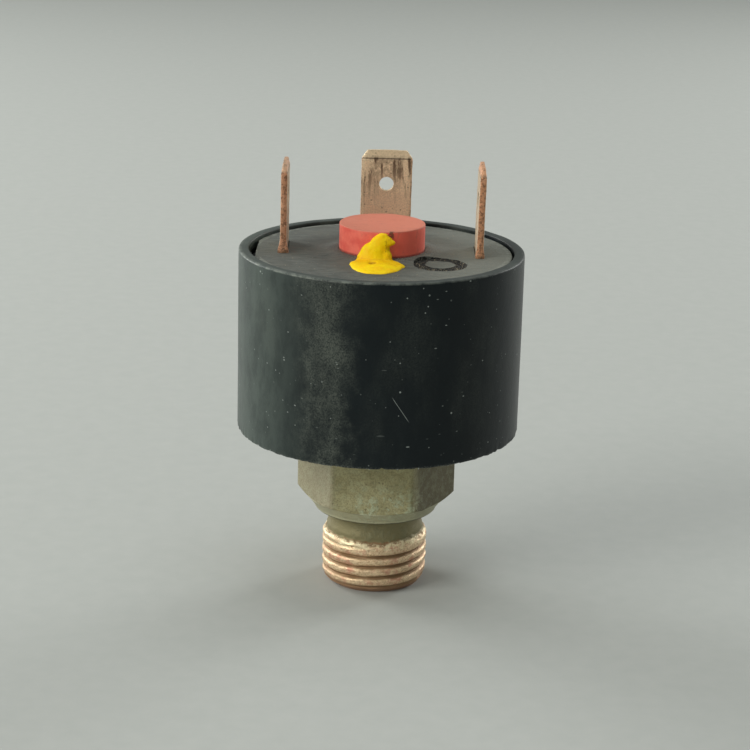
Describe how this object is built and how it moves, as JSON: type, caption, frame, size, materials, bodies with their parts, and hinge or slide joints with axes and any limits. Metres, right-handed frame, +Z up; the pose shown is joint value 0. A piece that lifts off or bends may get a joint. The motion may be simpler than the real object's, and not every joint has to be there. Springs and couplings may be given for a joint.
{
  "type": "pressure switch",
  "caption": "Diaphragm pressure switch: threaded fitting with spanner hexagon, round case, sealed setting screw and push-on tabs for a changeover contact.",
  "frame": {"origin": "on the axis of the fitting, in the plane of the thread's end, the lowest face", "axes": "+Z up the axis from the fitting to the tabs; -Y is the side with the lacquer; the common tab is at +Y"},
  "size_m": [0.0344, 0.0344, 0.0526],
  "materials": {
    "housing_shell": "semi-matt black moulding, scuffed",
    "base_plate": "zinc-plated pressing",
    "port_fitting": "tarnished turned brass",
    "fitting_gasket": "compressed fibre",
    "diaphragm": "smooth moulded rubber",
    "clamp_ring": "turned steel",
    "thrust_plate": "natural nylon",
    "range_spring": "drawn spring wire",
    "spring_seat": "turned brass",
    "adjusting_screw": "zinc-plated steel",
    "screw_clip": "black spring steel",
    "cover_plate": "dusty black moulding",
    "contact_carrier": "brown phenolic moulding",
    "terminal_com": "tarnished tinned brass",
    "terminal_nc": "tarnished coppery brass",
    "terminal_no": "tarnished coppery brass",
    "contact_nc": "silver contact",
    "contact_no": "silver contact",
    "contact_lever": "bronze sheet",
    "moving_contact": "silver contact",
    "lever_pin": "ground steel",
    "return_spring": "drawn spring wire",
    "adjuster_cap": "matt red moulding",
    "seal_on_cover": "yellow lacquer",
    "seal_on_cap": "yellow lacquer"
  },
  "bodies": {
    "case": {"housing_shell": "housing_shell", "base_plate": "base_plate", "port_fitting": "port_fitting", "fitting_gasket": "fitting_gasket", "diaphragm": "diaphragm", "clamp_ring": "clamp_ring", "range_spring": "range_spring", "cover_plate": "cover_plate", "contact_carrier": "contact_carrier", "terminal_com": "terminal_com", "terminal_nc": "terminal_nc", "terminal_no": "terminal_no", "contact_nc": "contact_nc", "contact_no": "contact_no", "lever_pin": "lever_pin", "return_spring": "return_spring", "seal_on_cover": "seal_on_cover"},
    "plunger": {"thrust_plate": "thrust_plate"},
    "seat": {"spring_seat": "spring_seat"},
    "screw": {"adjusting_screw": "adjusting_screw", "screw_clip": "screw_clip"},
    "lever": {"contact_lever": "contact_lever", "moving_contact": "moving_contact"},
    "cap": {"adjuster_cap": "adjuster_cap", "seal_on_cap": "seal_on_cap"}
  },
  "joints": [
    {"name": "plunger_slide", "type": "slide", "parent": "case", "child": "plunger", "axis": [0, 0, 1], "range_m": [0, 0.0005], "stiffness_N_per_m": 2400, "springref_m": -0.0005, "deforming": ["diaphragm", "range_spring"]},
    {"name": "lever_swing", "type": "hinge", "parent": "case", "child": "lever", "pos_m": [0.00035, 0.0092, 0.0274], "axis": [-1, 0, 0], "range_deg": [0, 3.15], "stiffness_Nm_per_rad": 0.35, "springref_deg": -0.57, "deforming": ["return_spring"]},
    {"name": "seat_travel", "type": "slide", "parent": "case", "child": "seat", "axis": [0, 0, 1], "range_m": [-0.0016, 0.0016]},
    {"name": "screw_turn", "type": "hinge", "parent": "case", "child": "screw", "pos_m": [0, 0, 0.036], "axis": [0, 0, 1], "range_deg": [-721, 721]},
    {"name": "cap_lift", "type": "slide", "parent": "case", "child": "cap", "axis": [0, 0, 1], "range_m": [0, 0.008]}
  ],
  "couplings": [
    {"joint": "lever_swing", "follows": "plunger_slide", "rad_per_m": 108.7},
    {"joint": "screw_turn", "follows": "seat_travel", "rad_per_m": -7854}
  ]
}
